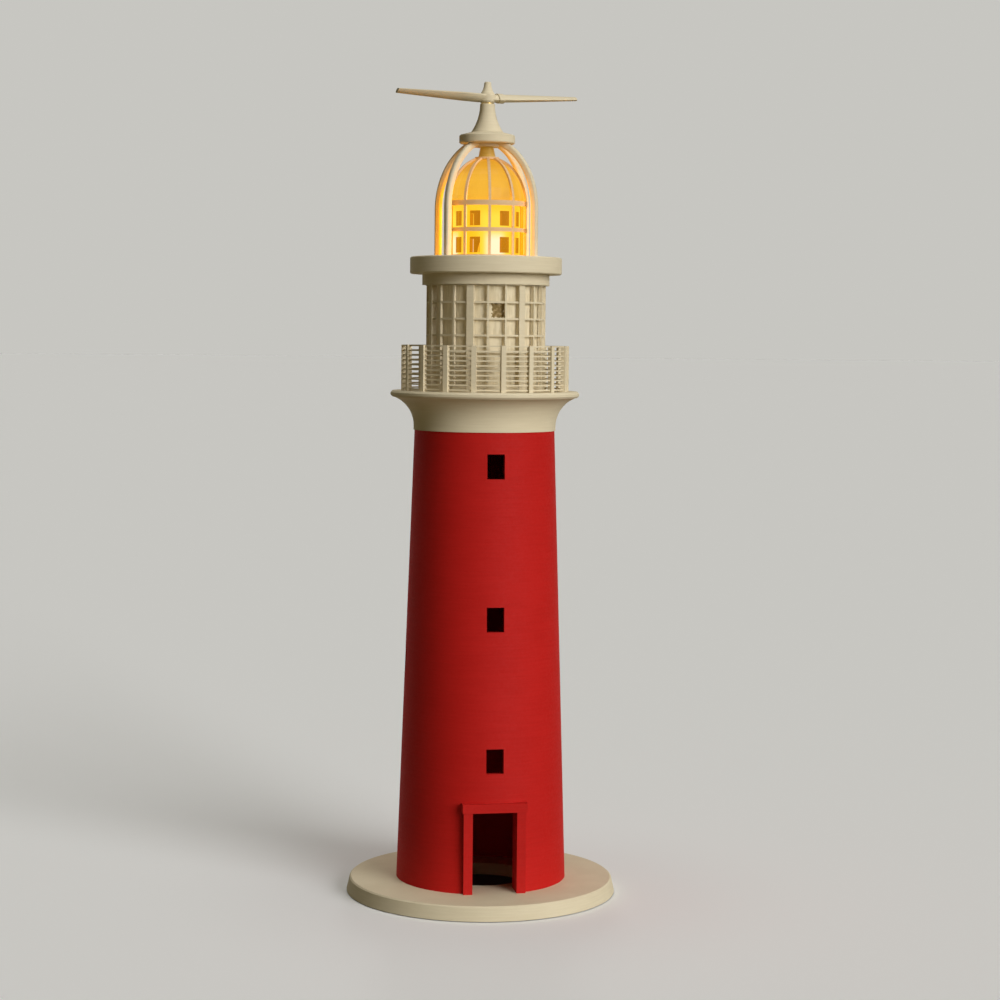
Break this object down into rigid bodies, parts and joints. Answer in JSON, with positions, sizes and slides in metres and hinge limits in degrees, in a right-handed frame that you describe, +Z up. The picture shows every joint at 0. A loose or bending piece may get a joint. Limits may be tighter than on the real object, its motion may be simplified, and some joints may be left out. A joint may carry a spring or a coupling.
{
  "type": "lighthouse table lamp",
  "caption": "Table lamp shaped as a lighthouse: round tower on a base, railed gallery, lift-off lantern round a battery tea light, and a two-blade rotor on the roof.",
  "frame": {"origin": "on the table, below the tower's axis", "axes": "+Z up along the tower's axis; the doorway faces -Y, so +X is to the right of a person facing the door"},
  "size_m": [0.1338, 0.1338, 0.4],
  "materials": {
    "felt": "dense felt",
    "cream_print": "matte, fine print layers",
    "zinc_screw": "zinc plated",
    "red_print": "matte, fine print layers",
    "white_case": "smooth",
    "milky_bulb": "translucent",
    "clear_diode": "clear",
    "circuit_board": "lacquered",
    "steel": "plain",
    "contact_brass": "sprung strip",
    "black_switch": "moulded",
    "amber_lens": "clear amber",
    "yellow_diffuser": "translucent, lit from inside"
  },
  "bodies": {
    "tower": {"foot_pad": "felt", "base_plate": "cream_print", "base_screws": "zinc_screw", "tower_shell": "red_print", "door_surround": "red_print", "gallery_corbel": "cream_print", "gallery_railing": "cream_print", "watch_room_core": "cream_print", "watch_room_glazing": "cream_print", "lantern_deck": "cream_print", "tealight_cup": "white_case", "tealight_flame": "milky_bulb", "tealight_diode": "clear_diode", "tealight_board": "circuit_board", "tealight_cell": "steel", "cell_contacts": "contact_brass", "tealight_base": "white_case", "battery_door": "white_case", "door_screw": "zinc_screw"},
    "switch": {"tealight_switch": "black_switch"},
    "lantern": {"lantern_frame": "cream_print", "lens_cage": "cream_print", "lens_skin": "amber_lens", "lens_drum": "yellow_diffuser", "cage_hub": "cream_print", "roof_cap": "cream_print", "rotor_axle": "steel", "rotor_washer": "contact_brass"},
    "rotor": {"rotor_hub": "cream_print", "rotor_blade_left": "cream_print", "rotor_blade_right": "cream_print", "rotor_sleeve": "cream_print"}
  },
  "joints": [
    {"name": "lantern_lift", "type": "slide", "parent": "tower", "child": "lantern", "axis": [0, 0, 1], "range_m": [0, 0.06]},
    {"name": "rotor_spin", "type": "hinge", "parent": "lantern", "child": "rotor", "pos_m": [0, 0, 0.3921], "axis": [0, 0, 1], "continuous": true},
    {"name": "switch_slide", "type": "slide", "parent": "tower", "child": "switch", "axis": [0, 1, 0], "range_m": [0, 0.0025]}
  ]
}
